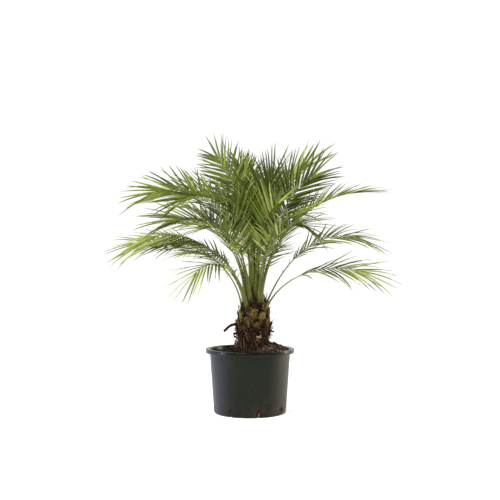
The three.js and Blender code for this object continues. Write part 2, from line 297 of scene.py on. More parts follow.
def painted(tree, geometry, material, operation, a, b):
    """Gives a material to the faces for which a comparison of two values holds."""
    chosen = get(tree, "FunctionNodeCompare", a, b, data_type="FLOAT", operation=operation)
    return get(tree, "GeometryNodeSetMaterial", geometry, chosen, material)


def shaded(tree, geometry, materials):
    """Deals out the materials by the shade that each station carries."""
    for index, material in enumerate(materials):
        shade = attribute(tree, "shade")
        geometry = painted(tree, geometry, material, "EQUAL", shade, float(index))
    return geometry


def stations(name, rows):
    """Loose points that carry each row's values as attributes, for a tree to work from."""
    base = new_object(name + "_stations", [row["spot"] for row in rows], [])
    for key in [key for key in rows[0] if key != "spot"]:
        if isinstance(rows[0][key], Vector):
            flat = [value for row in rows for value in row[key]]
            store(base, key, flat, "FLOAT_VECTOR", "vector")
        else:
            store(base, key, [float(row[key]) for row in rows])
    return base


def grow(name, rows, tree, values, slot, *nodes):
    """Runs a geometry tree on the rows' stations. What it makes is kept as one plain mesh, a
    smooth piece of the plant."""
    base = stations(name, rows)
    modifier = base.modifiers.new(name, "NODES")
    modifier.node_group = tree
    for item in tree.interface.items_tree:
        if item.item_type == "SOCKET" and item.in_out == "INPUT" and item.name in values:
            modifier[item.identifier] = values[item.name]
    mesh = worked_mesh(base)
    mesh.name = name
    base.modifiers.remove(modifier)
    bpy.data.objects.remove(base)
    mesh.shade_smooth()
    return piece(linked(name, mesh), slot, *nodes)


# ---- shared shader groups ----

def own_noise(tree, given, detail, roughness):
    """Noise over the object's own space, at the scale and stretch that a group is given."""
    place = vector_calc(tree, "MULTIPLY", add(tree, "ShaderNodeTexCoord")["Object"],
                        given["Stretch"])
    return get(tree, "ShaderNodeTexNoise", named={
        "Vector": place, "Scale": given["Scale"], "Detail": detail, "Roughness": roughness})


def make_mottle_group():
    """Two colours mixed in soft blotches, the shared look of growth, damp and dust."""
    tree, given, result = new_tree(
        "mottle", "ShaderNodeTree",
        {"First": (1, 1, 1, 1), "Second": (0, 0, 0, 1), "Scale": 30.0, "Stretch": (1, 1, 1),
         "Low": 0.35, "High": 0.65}, {"Color": (0, 0, 0, 1), "Mask": 0.0})
    mask = eased(tree, own_noise(tree, given, 5.0, 0.6), given["Low"], given["High"])
    feed(tree, result["Color"], blended(tree, mask, given["First"], given["Second"]))
    feed(tree, result["Mask"], mask)
    return tree


def make_relief_group():
    """A bumped normal from stretched noise: moulding grain, fibre or crumb by its values."""
    tree, given, result = new_tree(
        "relief", "ShaderNodeTree",
        {"Scale": 200.0, "Stretch": (1, 1, 1), "Strength": 0.3, "Depth": 0.001},
        {"Normal": (0, 0, 0)})
    feed(tree, result["Normal"], get(tree, "ShaderNodeBump", named={
        "Strength": given["Strength"], "Distance": given["Depth"],
        "Height": own_noise(tree, given, 4.0, 0.65)}))
    return tree


MOTTLE = make_mottle_group()
RELIEF = make_relief_group()


def group(tree, shared, **values):
    """Places a shared group in a material, with its own values. Returns its outputs."""
    node = tree.nodes.new("ShaderNodeGroup")
    node.node_tree = shared
    for key, value in values.items():
        feed(tree, node.inputs[key], value)
    return node.outputs


def new_material(name, roughness, specular=0.2):
    """A material with one Principled shader. Returns it with its tree and the shader's inputs."""
    material = bpy.data.materials.new(name)
    material.use_nodes = True
    tree = material.node_tree
    shader = tree.nodes["Principled BSDF"].inputs
    shader["Roughness"].default_value = roughness
    shader["Specular IOR Level"].default_value = specular
    return material, tree, shader


def blotches(tree, first, second, scale, stretch=(1, 1, 1), low=0.35, high=0.65):
    """Two colours, given as for srgb, mixed by a mottle."""
    return group(tree, MOTTLE, First=srgb(*first), Second=srgb(*second), Scale=scale,
                 Stretch=stretch, Low=low, High=high)["Color"]


def dress(tree, shader, colour, relief=None, stretch=(1, 1, 1)):
    """Gives a shader its colour, and a relief by its noise's scale, its strength and depth."""
    feed(tree, shader["Base Color"], colour)
    if relief:
        scale, strength, depth = relief
        bumps = group(tree, RELIEF, Scale=scale, Stretch=stretch, Strength=strength, Depth=depth)
        feed(tree, shader["Normal"], bumps["Normal"])


# ---- materials ----

def pot_plastic():
    """Near-black moulded plastic: a bluish painted reflection on its left and an olive one on its
    right, earth low down, and a scuffed rim."""
    material, tree, shader = new_material("pot_plastic", 0.5)
    place = add(tree, "ShaderNodeTexCoord")
    spot = add(tree, "ShaderNodeSeparateXYZ", place["Object"])
    across = get(tree, "ShaderNodeSeparateXYZ", place["Normal"])
    dust = group(tree, MOTTLE, Scale=24.0, Low=0.40, High=0.75)
    scuff = group(tree, MOTTLE, Scale=90.0, Stretch=(1, 1, 3.0), Low=0.55, High=0.72)
    low = eased(tree, spot["Z"], 0.0, 0.13, 0.6, 0.0)
    side = ranged(tree, spot["X"], -0.10, 0.15, 0.25, 1.0)
    earth = product(tree, low, side, dust["Mask"])
    rim = ranged(tree, spot["Z"], POT_HEIGHT - 0.0025, POT_HEIGHT - 0.0005, 0.0, 0.6)
    worn = product(tree, calc(tree, "MAXIMUM", rim, 0.10), scuff["Mask"])
    colour = blotches(tree, (4, 9, 0), (13, 18, 3), 7.0, (1, 1, 0.35), 0.3, 0.7)
    # The two side tints are painted reflections: bluish where the surface faces left, olive where it
    # faces right.
    for mask, tint in ((eased(tree, across, -0.45, -0.95), (32, 34, 46)),
                       (eased(tree, across, 0.45, 1.0), (46, 42, 22)),
                       (earth, (84, 66, 40)), (worn, (104, 102, 92))):
        colour = blended(tree, mask, colour, srgb(*tint))
    dull = ranged(tree, calc(tree, "MAXIMUM", earth, worn), 0.0, 0.5, 0.40, 0.78)
    sheen = ranged(tree, spot["Z"], POT_HEIGHT - 0.022, POT_HEIGHT - 0.016, 1.0, 0.6)
    feed(tree, shader["Roughness"], product(tree, dull, sheen))
    dress(tree, shader, colour, (260.0, 0.16, 0.0008))
    return material


def mottled(name, first, second, roughness, scale, relief=None, stretch=(1, 1, 1),
            specular=0.2):
    """A natural surface: two near colours in blotches over a relief of its own scale."""
    material, tree, shader = new_material(name, roughness, specular)
    dress(tree, shader, blotches(tree, first, second, scale, stretch), relief, stretch)
    return material


def stalk_skin():
    """A frond's stalk: brown at its sheath, then olive green, paler along its two edges."""
    material, tree, shader = new_material("stalk_skin", 0.5)
    run = add(tree, "ShaderNodeAttribute", attribute_name="run")["Fac"]
    edge = add(tree, "ShaderNodeAttribute", attribute_name="edge")["Fac"]
    green = blotches(tree, (70, 74, 18), (98, 102, 30), 26.0, (1, 1, 0.3))
    sheath = blotches(tree, (48, 28, 16), (98, 70, 36), 60.0, (1, 1, 0.3))
    colour = blended(tree, eased(tree, edge, 0.72, 1.0, 0.0, 0.7), green, srgb(132, 134, 58))
    colour = blended(tree, eased(tree, run, 0.022, 0.045, 1.0, 0.0), colour, sheath)
    dress(tree, shader, colour, (150.0, 0.18, 0.0008), (1, 1, 0.25))
    return material


# Leaflet shades, dealt out leaflet by leaflet. The last two are for dry tips.
LEAF_SHADES = [
    ("deep", (58, 70, 20), (70, 82, 26)),
    ("green", (80, 94, 28), (96, 110, 38)),
    ("fresh", (108, 122, 42), (124, 138, 54)),
    ("light", (146, 156, 82), (160, 170, 98)),
    ("olive", (118, 120, 54), (136, 138, 70)),
    ("straw", (186, 164, 88), (204, 182, 108)),
    ("brown", (84, 56, 34), (108, 74, 44)),
]
STRAW = 5


# ---- view and light ----

CAMERA_DISTANCE = 3.566
CAMERA_HEIGHT = 0.648
FOCAL_PIXELS = 788.0
IMAGE_PIXELS = 500.0
HORIZON_PIXEL = 268.0
SENSOR = 36.0


def make_camera():
    camera = bpy.data.cameras.new("camera")
    camera.sensor_width = SENSOR
    camera.lens = FOCAL_PIXELS / IMAGE_PIXELS * SENSOR
    thing = linked("camera", camera)
    thing.location = (0, -CAMERA_DISTANCE, CAMERA_HEIGHT)
    tilt = atan((HORIZON_PIXEL - IMAGE_PIXELS / 2) / FOCAL_PIXELS)
    thing.rotation_euler = (pi / 2 + tilt, 0, 0)
    bpy.context.scene.camera = thing


def add_light(name, place, aim, size, watts, colour, shadow=True):
    lamp = bpy.data.lights.new(name, "AREA")
    lamp.use_shadow = shadow
    lamp.shape = "DISK"
    lamp.size = size
    lamp.energy = watts
    lamp.color = colour
    thing = linked(name, lamp)
    thing.location = place
    thing.rotation_euler = (Vector(aim) - Vector(place)).to_track_quat("-Z", "Y").to_euler()


def make_surround():
    """A white studio that is bright behind and above the plant, and dimmer on the near side."""
    world = bpy.data.worlds.new("surround")
    world.use_nodes = True
    tree = world.node_tree
    background = tree.nodes["Background"].inputs
    toward = add(tree, "ShaderNodeTexCoord")["Generated"]
    depth = add(tree, "ShaderNodeSeparateXYZ", toward)["Y"]
    feed(tree, background["Strength"], eased(tree, depth, -0.5, 0.25, 0.35, 1.05))
    feed(tree, background["Color"], (1, 1, 1, 1))
    bpy.context.scene.world = world


FLOOR_REACH = 12


def make_studio():
    """A pale floor in a white surround, with soft lamps above and to both sides."""
    make_surround()
    low, high = (0, 0, 0.2), (0, 0, 0.7)
    add_light("key_lamp", (-1.2, -1.8, 3.4), high, 1.2, 125, (1.0, 0.99, 0.95))
    add_light("left_lamp", (-3.0, -0.9, 0.6), low, 0.8, 30, (0.68, 0.80, 1.0), shadow=False)
    add_light("right_lamp", (2.8, 0.7, 0.6), low, 0.8, 30, (1.0, 0.91, 0.76))
    material, tree, shader = new_material("floor_white", 0.9, 0.0)
    feed(tree, shader["Base Color"], (0.93, 0.93, 0.93, 1))
    feed(tree, shader["Emission Color"], (1, 1, 1, 1))
    feed(tree, shader["Emission Strength"], 0.42)
    corners = [(-1, -1), (1, -1), (1, 1), (-1, 1)]
    floor = new_object("floor", [(x * FLOOR_REACH, y * FLOOR_REACH, 0) for x, y in corners],
                       [(0, 1, 2, 3)], [material])
    view = bpy.context.scene.view_settings
    view.view_transform = "Standard"
    view.look = "None"


# ---- ring-built meshes and tapered strands ----

def ring_skin(count, rows, start=0):
    """The faces between rows of corners, where each row is a ring of the same count."""
    faces = []
    for row in range(rows - 1):
        for i in range(count):
            a, b = start + row * count + i, start + row * count + (i + 1) % count
            faces.append((a, b, b + count, a + count))
    return faces


def caps(first, last, count):
    """The faces that close the rings which start at the first and the last corner."""
    return [tuple(first + i for i in reversed(range(count))), tuple(last + i for i in range(count))]


class Strands:
    """Closed tapered strands, gathered as one mesh."""

    def __init__(self):
        self.vertices, self.faces, self.kinds = [], [], []
        self.runs, self.edges = [], []

    def add(self, path, widths, thicks=None, sides=6, ups=None, inner=1.0, kind=0):
        """One strand along a path, with its half widths and half thicknesses. Inner flattens
        the half that faces its ups."""
        start, last = len(self.vertices), len(path) - 1
        thicks = thicks or widths
        for k, spot in enumerate(path):
            ahead = (path[min(k + 1, last)] - path[max(k - 1, 0)]).normalized()
            side = ahead.cross(ups[k] if ups else Vector((0.13, 0.21, 0.97))).normalized()
            top = side.cross(ahead)
            for i in range(sides):
                turn = 2 * pi * i / sides
                rise = sin(turn) * thicks[k] * (inner if sin(turn) > 0 else 1.0)
                self.vertices.append(spot + side * (cos(turn) * widths[k]) + top * rise)
                self.runs.append(k / last)
                self.edges.append(abs(cos(turn)))
        quads = [quad[1:] + quad[:1] for quad in ring_skin(sides, last + 1, start)]
        self.faces += quads + caps(start, start + last * sides, sides)
        self.kinds += [kind] * (len(quads) + 2)

    def add_root(self, path, radius, sides, kind):
        """A round strand that thins towards its end."""
        last = len(path) - 1
        self.add(path, [radius * mix(1, 0.6, k / last) for k in range(last + 1)], sides=sides,
                 kind=kind)

    def made(self, name, materials):
        return new_object(name, self.vertices, self.faces, materials, self.kinds)


# ---- sprays of small blades ----

def spray_tree(name, shades, dry=()):
    """Spreads slim blades over stations. Each is tapered and folded, and is aimed, bent and
    coloured by its station's attributes. A dry material takes the end of the blade."""
    tree, given, result = new_tree(
        name, "GeometryNodeTree",
        {"Geometry": None, "Half Width": 0.005, "Half Thickness": 0.0007, "Fold": 0.36,
         "Segments": 7, "Foot Width": 0.6, "Taper": 0.8}, {"Geometry": None})
    blade = get(tree, "GeometryNodeMeshCylinder", fill_type="NGON", named={
        "Vertices": 4, "Side Segments": given["Segments"], "Radius": 1.0, "Depth": 1.0})
    corner = add(tree, "ShaderNodeSeparateXYZ", get(tree, "GeometryNodeInputPosition"))
    reach = calc(tree, "ADD", corner["Z"], 0.5)
    blade = get(tree, "GeometryNodeStoreNamedAttribute", data_type="FLOAT", domain="POINT",
                named={"Geometry": blade, "Name": "reach", "Value": reach})
    swell = eased(tree, reach, 0.0, 0.18, given["Foot Width"])
    left = calc(tree, "SUBTRACT", 1.0, product(tree, reach, reach))
    taper = calc(tree, "POWER", left, given["Taper"])
    width = calc(tree, "ADD", product(tree, swell, taper), 0.03)
    across = product(tree, corner["X"], width, given["Half Width"])
    lifted = product(tree, calc(tree, "ABSOLUTE", across), given["Fold"])
    thick = product(tree, corner["Y"], width, given["Half Thickness"])
    shaped = get(tree, "ShaderNodeCombineXYZ", across, reach,
                 calc(tree, "SUBTRACT", lifted, thick))
    blade = get(tree, "GeometryNodeSetPosition", blade, None, shaped)

    sideways = attribute(tree, "across", "FLOAT_VECTOR")
    aim = get(tree, "FunctionNodeAxesToRotation", attribute(tree, "way", "FLOAT_VECTOR"),
              sideways, primary_axis="Y", secondary_axis="X")
    breadth = attribute(tree, "breadth")
    size = get(tree, "ShaderNodeCombineXYZ", breadth, attribute(tree, "length"), breadth)
    spray = placed(tree, given["Geometry"], blade, aim, size)

    reach = attribute(tree, "reach")
    bend = scaled(tree, attribute(tree, "bend", "FLOAT_VECTOR"), calc(tree, "POWER", reach, 2.2))
    phase = calc(tree, "MULTIPLY_ADD", reach, 8.0, attribute(tree, "phase"))
    swing = product(tree, calc(tree, "SINE", phase), attribute(tree, "wave"))
    spray = get(tree, "GeometryNodeSetPosition", spray, None, None,
                vector_calc(tree, "ADD", bend, scaled(tree, sideways, swing)))
    spray = shaded(tree, spray, shades)
    for key, material in zip(("straw_from", "brown_from"), dry):
        spray = painted(tree, spray, material, "GREATER_THAN", reach, attribute(tree, key))
    feed(tree, result["Geometry"], spray)
    return tree


def blade_row(spot, way, side, length, breadth, shade, bend=Vector((0, 0, 0)), wave=0.0,
              phase=0.0):
    """A station for one blade. Side is only a hint of the way across it."""
    way = way.normalized()
    across = (side - way * side.dot(way)).normalized()
    return dict(spot=spot, way=way, across=across, length=length, breadth=breadth, shade=shade,
                bend=bend, wave=wave, phase=phase)


# ---- pot ----

def closed(rings, bottom, top):
    """Corners and faces of a closed solid, from its rings and the middles of its ends."""
    count = len(rings[0])
    vertices = [corner for ring in rings for corner in ring] + [bottom, top]
    faces = ring_skin(count, len(rings))
    last = (len(rings) - 1) * count
    for i in range(count):
        j = (i + 1) % count
        faces += [(j, i, len(vertices) - 2), (last + i, last + j, len(vertices) - 1)]
    return vertices, faces


def turned(profile, facets):
    """A closed solid turned round Z, from a profile that stays off the axis."""
    turns = [2 * pi * i / facets for i in range(facets)]
    rings = [[(radius * cos(turn), radius * sin(turn), height) for turn in turns]
             for radius, height in profile]
    return closed(rings, (0, 0, profile[0][1]), (0, 0, profile[-1][1]))


def arc(x, y, radius, start, end, count):
    """Points of an arc in a profile, with its angles in degrees."""
    turns = [radians(mix(start, end, i / count)) for i in range(count + 1)]
    return [(x + radius * cos(turn), y + radius * sin(turn)) for turn in turns]


def pot_inside(height):
    return mix(POT_BASE_RADIUS, POT_BODY_RADIUS, height / (POT_HEIGHT - POT_RIM_HEIGHT)) - POT_WALL


def pot_profile():
    """From the middle of the underside, up the outside, over the rolled rim and down inside."""
    under = POT_HEIGHT - POT_RIM_HEIGHT
    roll = 0.0040
    outer = POT_RIM_RADIUS - roll
    rows = [(0.03, 0), (0.09, 0), (0.14, 0)]
    rows += arc(POT_BASE_RADIUS - 0.007, 0.007, 0.007, -90, -4, 6)
    rows += [(mix(POT_BASE_RADIUS, POT_BODY_RADIUS, z / under), z)
             for z in (0.02, 0.06, 0.11, 0.16, 0.21, 0.245)]
    rows += [(POT_BODY_RADIUS - 0.0004, under - 0.001), (POT_BODY_RADIUS + 0.003, under + 0.0008)]
    rows += arc(outer, under + roll + 0.001, roll, -90, 0, 7)
    rows += [(POT_RIM_RADIUS - 0.0006, POT_HEIGHT - 0.010)]
    rows += arc(outer, POT_HEIGHT - roll, roll, 0, 90, 7)[1:]
    rows += arc(POT_BODY_RADIUS + 0.003, POT_HEIGHT - 0.006, 0.005, 90, 180, 5)
    rows += [(pot_inside(under - 0.004), under - 0.012)]
    rows += [(pot_inside(z), z) for z in (0.21, 0.14, 0.07, 0.02)]
    rows += arc(pot_inside(POT_FLOOR) - 0.004, POT_FLOOR + 0.004, 0.004, 0, -90, 4)
    rows += [(0.09, POT_FLOOR), (0.03, POT_FLOOR)]
    return rows


def slot_turns():
    return [radians(POT_SLOT_TURN - 90 + i * 360 / POT_SLOTS) for i in range(POT_SLOTS)]


def slot_cutter():
    """Eight round-topped blocks that cut the drain slots through the corner of the pot's foot."""
    half = POT_SLOT_WIDTH / 2
    outline = [(-half, -0.01), (half, -0.01)]
    outline += [(half * cos(a), POT_SLOT_HEIGHT - half + half * sin(a))
                for a in [pi * i / 8 for i in range(9)]]
    count = len(outline)
    vertices, faces = [], []
    for turn in slot_turns():
        start = len(vertices)
        spin = Matrix.Rotation(turn, 3, "Z")
        for reach in (POT_BASE_RADIUS - 0.016, POT_BASE_RADIUS + 0.015):
            vertices += [spin @ Vector((reach, across, up)) for across, up in outline]
        faces += caps(start, start + count, count) + ring_skin(count, 2, start)
    return new_object("slot_cutter", vertices, faces)


def make_pot():
    pot = new_object("pot_shell", *turned(pot_profile(), POT_FACETS))
    cutter = slot_cutter()
    cut = pot.modifiers.new("slots", "BOOLEAN")
    cut.operation = "DIFFERENCE"
    cut.solver = "EXACT"
    cut.object = cutter
    mesh = worked_mesh(pot)
    pot.modifiers.remove(cut)
    bpy.data.objects.remove(cutter)
    pot.data = mesh
    mesh.materials.clear()
    mesh.materials.append(pot_plastic())
    mesh.set_sharp_from_angle(angle=radians(40))
    piece(pot, "nursery_pot", "pot")


# How many roots show in a slot, how far to either side of its middle they may lie, and the
# share of pale ones.
SLOT_ROOTS, SLOT_ROOT_REACH, SLOT_ROOTS_PALE = 9, 0.0075, 0.12


def make_slot_roots():
    """Wiry roots that have found their way to the drain slots."""
    draw = random.Random(23)
    roots = Strands()
    for turn in slot_turns():
        out, side = direction(turn), direction(turn + pi / 2)
        for _ in range(SLOT_ROOTS):
            across = draw.uniform(-0.42, 0.42) * POT_SLOT_WIDTH
            drift = draw.uniform(-0.5, 0.5) * POT_SLOT_WIDTH
            low, high = draw.uniform(0.002, 0.009), draw.uniform(0.018, 0.029)
            pale = draw.random() < SLOT_ROOTS_PALE
            depth = draw.uniform(-0.002, 0.002) if pale else draw.uniform(-0.010, -0.001)
            path = []
            for k in range(7):
                s = k / 6
                away = POT_BASE_RADIUS + depth + 0.004 * sin(pi * s)
                aside = max(-SLOT_ROOT_REACH, min(SLOT_ROOT_REACH, across + drift * (s - 0.5)))
                path.append(out * away + Vector((0, 0, mix(low, high, s))) + side * aside)
            roots.add_root(path, draw.uniform(0.0007, 0.0016), 5,
                           2 if pale else draw.choice((0, 0, 1)))
    piece(roots.made("slot_roots", ROOT_SKINS), "roots")


# ---- soil ----

def soil_height(x, y):
    """The soil's lumpy surface, with its heap on the trunk's right."""
    offset = Vector((x - TRUNK_FOOT_X * 0.8, y, 0))
    away = offset.length
    if away < SOIL_SHOULDER_RADIUS:
        slope = smooth((away - SOIL_SEAT_RADIUS) / (SOIL_SHOULDER_RADIUS - SOIL_SEAT_RADIUS))
        height = mix(SOIL_SEAT, SOIL_SHOULDER, slope)
    else:
        slope = (away - SOIL_SHOULDER_RADIUS) / (SOIL_EDGE_RADIUS - SOIL_SHOULDER_RADIUS)
        height = mix(SOIL_SHOULDER, SOIL_EDGE, min(slope, 1.0))
    facing = max(offset.dot(direction(radians(SOIL_HEAP_TURN))) / max(away, 1e-4), 0.0)
    heap = facing ** 1.2 * smooth((away - 0.045) / 0.03) * (1 - smooth((away - 0.13) / 0.045))
    lumps = noise.fractal(Vector((x, y, 0)) * 38, 0.9, 2.1, 4) * 0.006
    lumps += noise.noise(Vector((x, y, 3)) * 140) * 0.0016
    return height - 0.001 + SOIL_HEAP * heap + lumps * smooth((away - 0.05) / 0.03)


def make_soil():
    """The soil as one closed body, with its surface as rings of lumpy points."""
    facets, rings = 150, 44
    edge = pot_inside(SOIL_EDGE) - 0.0016
    profile = [(0.03, POT_FLOOR + 0.0005), (pot_inside(0.01) - 0.002, POT_FLOOR + 0.0005),
               (pot_inside(0.12) - 0.0016, 0.12)]
    profile += [(edge * (1 - i / rings) + 0.004, SOIL_EDGE) for i in range(rings + 1)]
    vertices, faces = turned(profile, facets)
    shaped = [(x, y, soil_height(x, y)) if z >= SOIL_EDGE - 1e-6 else (x, y, z)
              for x, y, z in vertices]
    piece(new_object("soil_body", shaped, faces, [SOIL_SKIN]), "potting_soil", "soil")


def crumb_tree(materials):
    """Sets a small angular crumb on each station, sized, turned and coloured by its values."""
    tree, given, result = new_tree("soil_crumbs", "GeometryNodeTree",
                                   {"Geometry": None, "Wear": 0.0016}, {"Geometry": None})
    ball = get(tree, "GeometryNodeMeshIcoSphere", named={"Radius": 1.0, "Subdivisions": 1})
    turn = get(tree, "FunctionNodeEulerToRotation", attribute(tree, "turn", "FLOAT_VECTOR"))
    crumbs = placed(tree, given["Geometry"], ball, turn, attribute(tree, "size", "FLOAT_VECTOR"))
    rough = add(tree, "ShaderNodeTexNoise", named={
        "Vector": get(tree, "GeometryNodeInputPosition"), "Scale": 420.0})["Color"]
    shift = scaled(tree, vector_calc(tree, "SUBTRACT", rough, (0.5, 0.5, 0.5)), given["Wear"])
    crumbs = get(tree, "GeometryNodeSetPosition", crumbs, None, None, shift)
    feed(tree, result["Geometry"], shaded(tree, crumbs, materials))
    return tree


CRUMB_COUNT = 3600
CRUMB_SPREAD, CRUMB_FREE_RADIUS = 0.171, 0.056
# How often each crumb shade falls on the heap side, and on the left, where the darker mix is painted
# shade.
SOIL_LIT, SOIL_SHADED = (0.20, 0.36, 0.24, 0.20), (0.72, 0.26, 0.02, 0.0)


def make_crumbs():
    """Peat crumbs and bark chips over the soil."""
    draw = random.Random(31)
    rows = []
    while len(rows) < CRUMB_COUNT:
        turn, away = any_turn(draw), CRUMB_SPREAD * sqrt(draw.random())
        x, y = away * cos(turn), away * sin(turn)
        if hypot(x - TRUNK_FOOT_X, y) < CRUMB_FREE_RADIUS:
            continue
        size = min(0.0012 + draw.expovariate(900), 0.006)
        # Crumbs on the left take the darker mix, which is painted shade.
        rows.append(dict(
            spot=Vector((x, y, soil_height(x, y) + size * 0.2)),
            size=Vector((size * draw.uniform(0.7, 1.5), size * draw.uniform(0.6, 1.1),
                         size * draw.uniform(0.4, 0.8))),
            turn=Vector([draw.uniform(0, 6.28) for _ in range(3)]),
            shade=deal(draw, *(SOIL_LIT if x > 0.03 else SOIL_SHADED))))
    crumbs = grow("soil_crumbs", rows, crumb_tree(CRUMB_SKINS), {}, "potting_soil")
    crumbs.data.shade_flat()


# ---- trunk ----

TRUNK_FOOT = SOIL_SEAT + 0.0003
TRUNK_PROFILE = [(0.0, 0.063), (0.008, 0.0595), (0.024, 0.058), (0.060, 0.0643), (0.105, 0.067),
                 (0.158, 0.062), (0.262, 0.012)]


def trunk_axis(rise):
    lean = mix(TRUNK_FOOT_X, TRUNK_HEAD_X, rise / TRUNK_TIP_RISE)
    return Vector((lean, 0, TRUNK_FOOT + rise))


def trunk_radius(rise):
    """The trunk's bare radius at a rise above its foot."""
    for (low, wide), (high, slim) in zip(TRUNK_PROFILE, TRUNK_PROFILE[1:]):
        if rise <= high:
            return mix(wide, slim, max(rise - low, 0) / (high - low))
    return TRUNK_PROFILE[-1][1]


def on_trunk(turn, rise, out=0.0):
    return trunk_axis(rise) + direction(turn) * (trunk_radius(rise) + out)


def make_trunk():
    """The stem under its fibre: ridged in long folds, with rows that follow its true taper."""
    facets, rows = 120, 90
    rings = [[] for _ in range(rows + 1)]
    for row, ring in enumerate(rings):
        rise = TRUNK_TIP_RISE * row / rows
        for i in range(facets):
            turn = 2 * pi * i / facets
            spot = Vector((cos(turn) * 3, sin(turn) * 3, rise * 22))
            folds = noise.fractal(spot * Vector((3.2, 3.2, 0.7)), 0.8, 2.2, 4)
            ring.append(on_trunk(turn, rise, folds * 0.0055 - 0.001))
    stem = closed(rings, trunk_axis(0), trunk_axis(TRUNK_TIP_RISE + 0.003))
    piece(new_object("trunk_stem", *stem, [TRUNK_SKIN]), "trunk_fibre", "trunk")


# A boot is the stump of a cut frond: the turn and rise of its cut end, its height and half
# width, how far its end stands off the trunk, and how dry it is, from 0 when green. Less than 0
# marks the one fresh cut, which is pale all over.
Boot = namedtuple("Boot", "turn top height half lift dry")
GOLDEN_ANGLE = 137.5
BOOT_COUNT = 26
BOOT_FIRST_TURN = 262
BOOT_LOW, BOOT_HIGH = 0.071, 0.199
BOOT_FADED_BELOW = 0.150
# The places of the boots' materials in BOOT_SKINS.
GREEN, DRY, CUT, PALE, FADED = range(5)


def lay_boots():
    draw = random.Random(11)
    boots = []
    for index in range(BOOT_COUNT):
        up = index / (BOOT_COUNT - 1)
        turn = radians(BOOT_FIRST_TURN + (index - 1) * GOLDEN_ANGLE + draw.uniform(-4, 4))
        boots.append(Boot(turn, mix(BOOT_LOW, BOOT_HIGH, up) + draw.uniform(-0.004, 0.004),
                          draw.uniform(0.050, 0.062), draw.uniform(0.0175, 0.0215),
                          draw.uniform(0.011, 0.020), mix(1.3, 0.0, smooth((up - 0.12) * 2.2))))
    return boots


BOOTS = lay_boots()
PALE_CUT = Boot(radians(-73), 0.056, 0.028, 0.0105, 0.026, -1)


def in_boot(turn, rise):
    """Whether a place on the trunk lies under the broad part of a boot that isn't dry."""
    for boot in BOOTS + [PALE_CUT]:
        off = (turn - boot.turn + pi) % (2 * pi) - pi
        if (abs(off) * trunk_radius(rise) < boot.half * 0.9 and boot.dry < 0.6
                and boot.top - boot.height * 0.85 < rise < boot.top + 0.003):
            return True
    return False


def boot_half(boot, v, seed):
    """A shield's ragged half width at v, from 0 at its foot to 1 at its cut end."""
    wide = mix(0.40, 1.0, smooth(v / 0.66)) * (1 - 0.16 * smooth((v - 0.80) / 0.20))
    return boot.half * wide * (1 + 0.26 * noise.noise(Vector((seed * 7.3, v * 4.6, 0))))


def make_boots():
    """Cut frond bases: shields with a flat cut end, their dry edges curled off the trunk."""
    vertices, faces, kinds = [], [], []
    across, along = 12, 10
    for index, boot in enumerate(BOOTS + [PALE_CUT]):
        start = len(vertices)
        for back in (0, 1):
            for row in range(along + 1):
                v = row / along
                for col in range(across + 1):
                    u = 2 * col / across - 1
                    rise = boot.top - boot.height * (1 - v) - 0.005 * abs(u) ** 2.4 * v
                    rise += 0.008 * noise.noise(Vector((u * 2.6, index * 3.7, v))) * v
                    out = 0.002 + boot.lift * v ** 1.3 * (1 - 0.6 * u * u) + 0.004 * abs(u) ** 5
                    out -= back * mix(0.004, 0.011, v) * (1.02 - u * u)
                    wide = boot_half(boot, v, index + (0.5 if u > 0 else 0))
                    around = boot.turn + u * wide / trunk_radius(max(rise, 0))
                    spot = on_trunk(around, max(rise, 0), out)
                    vertices.append(spot + noise.noise_vector(spot * 110) * 0.0013)

        def corner(back, row, col):
            return start + (back * (along + 1) + row) * (across + 1) + col

        def face(kind, *corners):
            faces.append([corner(*place) for place in corners])
            kinds.append(kind)

        green = FADED if boot.top <= BOOT_FADED_BELOW else GREEN
        for row in range(along):
            above = row + 1
            for col in range(across):
                after = col + 1
                u, v = abs(2 * (col + 0.5) / across - 1), (row + 0.5) / along
                blotch = noise.noise(vertices[corner(0, row, col)] * 130)
                wear = 0.60 * u ** 2 + 0.40 * (1 - v) ** 2 + 0.35 * blotch + 0.5 * boot.dry
                wear += 0.45 * smooth((v - 0.82) / 0.15)
                face(PALE if boot.dry < 0 else DRY if wear > 0.50 else green,
                     (0, row, col), (0, row, after), (0, above, after), (0, above, col))
                face(DRY, (1, above, col), (1, above, after), (1, row, after), (1, row, col))
            face(DRY, (0, row, 0), (0, above, 0), (1, above, 0), (1, row, 0))
            face(DRY, (0, above, across), (0, row, across), (1, row, across), (1, above, across))
        for col in range(across):
            after = col + 1
            face(PALE if boot.dry < 0 else CUT,
                 (0, along, col), (0, along, after), (1, along, after), (1, along, col))
            face(DRY, (0, 0, after), (0, 0, col), (1, 0, col), (1, 0, after))
    boots = new_object("cut_frond_bases", vertices, faces, BOOT_SKINS, kinds)
    boots.data.set_sharp_from_angle(angle=radians(50))
    piece(boots, "leaf_bases")


FIBRE_COUNT = 3500
FLAKE_COUNT = 380


def waves(draw, most):
    """A fibre's wave: how far it swings, up to the most, and where along itself it starts."""
    return draw.uniform(0, most), draw.uniform(0, 6.3)


def trunk_frame(turn):
    return direction(turn), direction(turn + pi / 2), Vector((0, 0, 1))


def body_fibre(draw):
    """A short matted fibre between the cut bases, lying up, down or aslant."""
    turn, rise = any_turn(draw), draw.uniform(0.006, 0.172)
    out, side, up = trunk_frame(turn)
    lean = draw.choice((1, 1, -1))
    length = draw.uniform(0.014, 0.040)
    if in_boot(turn, rise) or in_boot(turn, rise + lean * length * 0.6):
        return None
    stand = 0.45 * smooth(rise / 0.07)
    way = up * lean + side * draw.gauss(0, 0.75) + out * draw.uniform(-0.05, stand)
    bend = out * draw.uniform(-0.008, 0.006) + side * draw.gauss(0, 0.007) - up * 0.003
    return blade_row(on_trunk(turn, rise, draw.uniform(-0.001, 0.009)), way, side, length,
                     draw.uniform(0.6, 1.7), deal(draw, 0.40, 0.34, 0.19, 0.07), bend,
                     *waves(draw, 0.0022))


